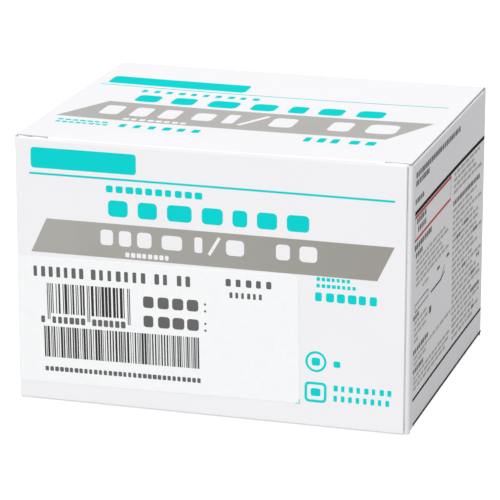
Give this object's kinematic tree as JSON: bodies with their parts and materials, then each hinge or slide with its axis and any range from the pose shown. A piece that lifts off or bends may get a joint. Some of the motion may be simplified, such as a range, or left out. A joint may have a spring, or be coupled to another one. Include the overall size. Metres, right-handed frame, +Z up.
{
  "type": "needle carton",
  "caption": "Closed white folding carton of sealed hypodermic needle strips, with a paper label and a tuck-in lid that hinges open at the back.",
  "frame": {"origin": "middle of the carton's underside", "axes": "+Z up, -Y out of the front panel, +X to the right as seen from the front"},
  "size_m": [0.1502, 0.1223, 0.102],
  "materials": {
    "board": "coated white folding board, satin",
    "label": "smooth white label paper",
    "blister": "milky formed sheet with a backing film"
  },
  "bodies": {
    "carton": {"carton": "board", "label": "label", "needle_strip_01": "blister", "needle_strip_02": "blister", "needle_strip_03": "blister", "needle_strip_04": "blister", "needle_strip_05": "blister", "needle_strip_06": "blister", "needle_strip_07": "blister", "needle_strip_08": "blister", "needle_strip_09": "blister", "needle_strip_10": "blister", "needle_strip_11": "blister", "needle_strip_12": "blister", "needle_strip_13": "blister", "needle_strip_14": "blister", "needle_strip_15": "blister", "needle_strip_16": "blister", "needle_strip_17": "blister", "needle_strip_18": "blister", "needle_strip_19": "blister", "needle_strip_20": "blister"},
    "lid": {"lid": "board"}
  },
  "joints": [
    {"name": "lid_hinge", "type": "hinge", "parent": "carton", "child": "lid", "pos_m": [0, 0.0598, 0.1008], "axis": [-1, 0, 0], "range_deg": [0, 180]}
  ]
}
